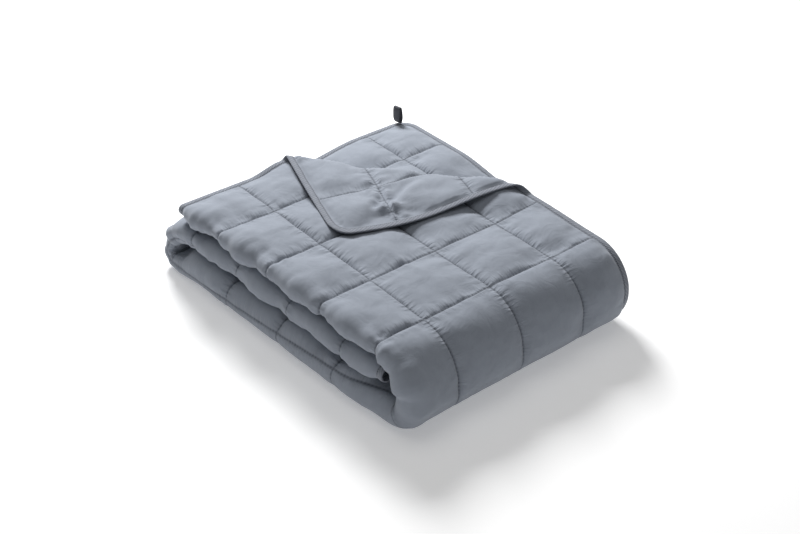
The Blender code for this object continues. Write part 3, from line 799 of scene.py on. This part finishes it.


def brushed_cotton():
    """Plain-woven cotton, brushed: fine grain, faint mottling, and painted groove shade along the seams,
    dashed with stitches.
    """
    material, tree, shader = new_material("brushed cotton", 0.88, 0.18)
    flat = node(tree, "ShaderNodeUVMap", uv_map="flat_cloth").outputs["UV"]
    split = node(tree, "ShaderNodeSeparateXYZ", {0: flat})
    groove_shade_lines, gathered = [], []
    for attribute, run in (("from_long_seam", split.outputs["Y"]), ("from_cross_seam", split.outputs["X"])):
        distance = node(tree, "ShaderNodeAttribute", attribute_name=attribute).outputs["Fac"]
        # within 3 mm of a seam the colour darkens: painted shade of the seam's groove, broken into dashes
        # where the stitches lie
        line = mapped(tree, distance, (0.0004, 0.0030), (1.0, 0.0))
        groove_shade_lines.append(maths(tree, "MULTIPLY", line, dashes(tree, run, SEAM_STITCH, 0.72)))
        drawn_out = maths(tree, "MULTIPLY", distance, 0.16)
        place = node(tree, "ShaderNodeCombineXYZ", {0: run, 1: drawn_out}).outputs[0]
        fade = mapped(tree, distance, (0.0, 0.024), (1.0, 0.0), "SMOOTHSTEP")
        gathered.append(maths(tree, "MULTIPLY", fibre_noise(tree, place, 170.0, 2.0), fade))
    seam_mark = maths(tree, "MAXIMUM", *groove_shade_lines)
    gather = maths(tree, "MAXIMUM", *gathered)
    mottle = fibre_noise(tree, flat, 60.0, 4.0, 0.6)
    shade = blend(tree, mottle, linear(COTTON_DEEP), linear(COTTON_PALE))
    # the seam line mixed in here is painted groove shade with stitch dashes, not a thread colour
    colour = blend(tree, maths(tree, "MULTIPLY", seam_mark, GROOVE_SHADE_SHARE), shade, linear(COTTON_GROOVE_SHADE))
    tree.links.new(colour, shader.inputs["Base Color"])
    surface = relief(tree, fibre_noise(tree, flat, 700.0, 3.0, 0.7), 0.25, 0.0006)
    surface = relief(tree, fibre_noise(tree, flat, 26.0, 4.0, 0.6, 1.2), 0.45, 0.0040, surface)
    surface = relief(tree, gather, 1.0, 0.0045, surface)
    surface = relief(tree, seam_mark, 0.6, 0.0010, surface, invert=True)
    tree.links.new(surface, shader.inputs["Normal"])
    return material


# %% [markdown]
# ## Cotton tape
# The tape is a twill, whose ridges run slantwise.  An image could show them; a wave texture on the
# tape's own length needs none.  One stitched line runs along each side.

# %% Cotton tape of the edge
TAPE_DEEP, TAPE_PALE, TAPE_SEAM = "#7C818B", "#A3A7AF", "#4E525B"
TAPE_SEAM_PLACE = 0.355      # the stitched line: how far round the section it lies from the outer rim


def cotton_tape():
    """Folded cotton tape with a diagonal twill and the ripples of its stitching."""
    material, tree, shader = new_material("cotton twill tape", 0.9, 0.12)
    flat = node(tree, "ShaderNodeUVMap", uv_map="flat_tape").outputs["UV"]
    scaled = node(tree, "ShaderNodeMapping", {"Vector": flat, "Scale": (1.0, 0.06, 1.0)}).outputs[0]
    inputs = {"Vector": scaled, "Scale": 70.0, "Distortion": 1.5, "Detail": 1.0}
    twill = node(tree, "ShaderNodeTexWave", inputs, bands_direction="DIAGONAL").outputs["Fac"]
    weave = maths(tree, "MULTIPLY", twill, fibre_noise(tree, scaled, 90.0, 3.0))
    shade = blend(tree, weave, linear(TAPE_DEEP), linear(TAPE_PALE))
    split = node(tree, "ShaderNodeSeparateXYZ", {0: flat})
    from_rim = maths(tree, "ABSOLUTE", maths(tree, "SUBTRACT", split.outputs["Y"], 0.5))
    from_line = maths(tree, "ABSOLUTE", maths(tree, "SUBTRACT", from_rim, TAPE_SEAM_PLACE))
    line = mapped(tree, from_line, (0.010, 0.040), (1.0, 0.0))
    seam_mark = maths(tree, "MULTIPLY", line, dashes(tree, split.outputs["X"], TAPE_STITCH, 0.2))
    colour = blend(tree, seam_mark, shade, linear(TAPE_SEAM))
    tree.links.new(colour, shader.inputs["Base Color"])
    surface = relief(tree, maths(tree, "SUBTRACT", weave, seam_mark), 0.6, 0.0014)
    tree.links.new(surface, shader.inputs["Normal"])
    return material


# %% [markdown]
# ## Woven ribbon
# The loop is narrow ribbon, dense and dark, with ribs across it.  Waves along its length are enough
# at this size.

# %% Woven ribbon of the loop
def woven_ribbon():
    """Dense woven polyester ribbon: dark, slightly smoother, ribbed across."""
    material, tree, shader = new_material("woven polyester ribbon", 0.7, 0.10)
    flat = node(tree, "ShaderNodeUVMap", uv_map="flat_ribbon").outputs["UV"]
    inputs = {"Vector": flat, "Scale": 180.0, "Distortion": 0.4}
    rib = node(tree, "ShaderNodeTexWave", inputs, bands_direction="X").outputs["Fac"]
    colour = blend(tree, rib, linear("#45464C"), linear("#5B5D64"))
    tree.links.new(colour, shader.inputs["Base Color"])
    tree.links.new(relief(tree, rib, 0.4, 0.0005), shader.inputs["Normal"])
    return material


body = blanket_body(brushed_cotton())
tape = edge_binding(cotton_tape())
loop = corner_loop(woven_ribbon())
for piece, solid, finish in (
    (body, "quilted_blanket", "quilted_fabric"),
    (tape, "edge_binding", "binding_fabric"),
    (loop, "corner_loop", "loop_ribbon"),
):
    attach(piece, "root")
    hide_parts(solid)

# %% [markdown]
# ## Floor, light and camera
# A pale seamless floor and large soft lights show cloth best: the folds then read as slow
# gradients, with only the seams and the hollows dark.

# %% Floor, lights and camera
FLOOR_HALF, FLOOR_LEVEL, FLOOR_GLOW = 6.0, -0.0005, 0.25
ROOM_LIGHT = 0.17
CAMERA_PLACE, CAMERA_TARGET = (-6.541, -12.948, 8.707), (1.519, -2.995, 0.0)   # cells, fold's own frame
LENS, SENSOR = 58.1, 36.0    # millimetres


def studio_floor():
    """A wide pale sheet that runs on into the white of the room."""
    mesh = bpy.data.meshes.new("studio_floor")
    corners = [(x * FLOOR_HALF, y * FLOOR_HALF, FLOOR_LEVEL) for x, y in ((-1, -1), (1, -1), (1, 1), (-1, 1))]
    mesh.from_pydata(corners, [], [(0, 1, 2, 3)])
    material, _, shader = new_material("white studio paper", 0.95, 0.0)
    shader.inputs["Base Color"].default_value = linear("#FFFFFF")
    shader.inputs["Emission Color"].default_value = linear("#FFFFFF")
    shader.inputs["Emission Strength"].default_value = FLOOR_GLOW
    mesh.materials.append(material)
    floor = bpy.data.objects.new("studio_floor", mesh)
    bpy.context.scene.collection.objects.link(floor)


def aimed(place, target):
    """Turn about X and Z that points an object's own -Z from its place to a target."""
    aim = np.array(target) - np.array(place)
    tilt = math.atan2(math.hypot(aim[0], aim[1]), -aim[2])
    return tilt, 0, math.atan2(-aim[0], aim[1])


def soft_light(name, place, target, size, power):
    """A square area light at a place, facing a target."""
    lamp = bpy.data.lights.new(name, "AREA")
    lamp.size, lamp.energy = size, power
    holder = bpy.data.objects.new(name, lamp)
    holder.location, holder.rotation_euler = place, aimed(place, target)
    bpy.context.scene.collection.objects.link(holder)


def camera():
    """The camera that looks down over the front left corner."""
    place, target = to_metres(np.array(CAMERA_PLACE)), to_metres(np.array(CAMERA_TARGET))
    lens = bpy.data.cameras.new("camera")
    lens.lens, lens.sensor_width = LENS, SENSOR
    holder = bpy.data.objects.new("camera", lens)
    holder.location, holder.rotation_euler = place, aimed(place, target)
    bpy.context.scene.collection.objects.link(holder)
    bpy.context.scene.camera = holder


studio_floor()
soft_light("back_key", (0.8, 2.0, 1.9), (0, 0, 0.1), 1.0, 108)
soft_light("overhead", (-0.4, -0.2, 2.4), (0, 0, 0.1), 1.6, 8)
world = bpy.data.worlds.new("studio")
world.use_nodes = True
background = world.node_tree.nodes["Background"]
background.inputs["Color"].default_value = (1, 1, 1, 1)
background.inputs["Strength"].default_value = ROOM_LIGHT
bpy.context.scene.world = world
bpy.context.scene.view_settings.view_transform = "Standard"
camera()
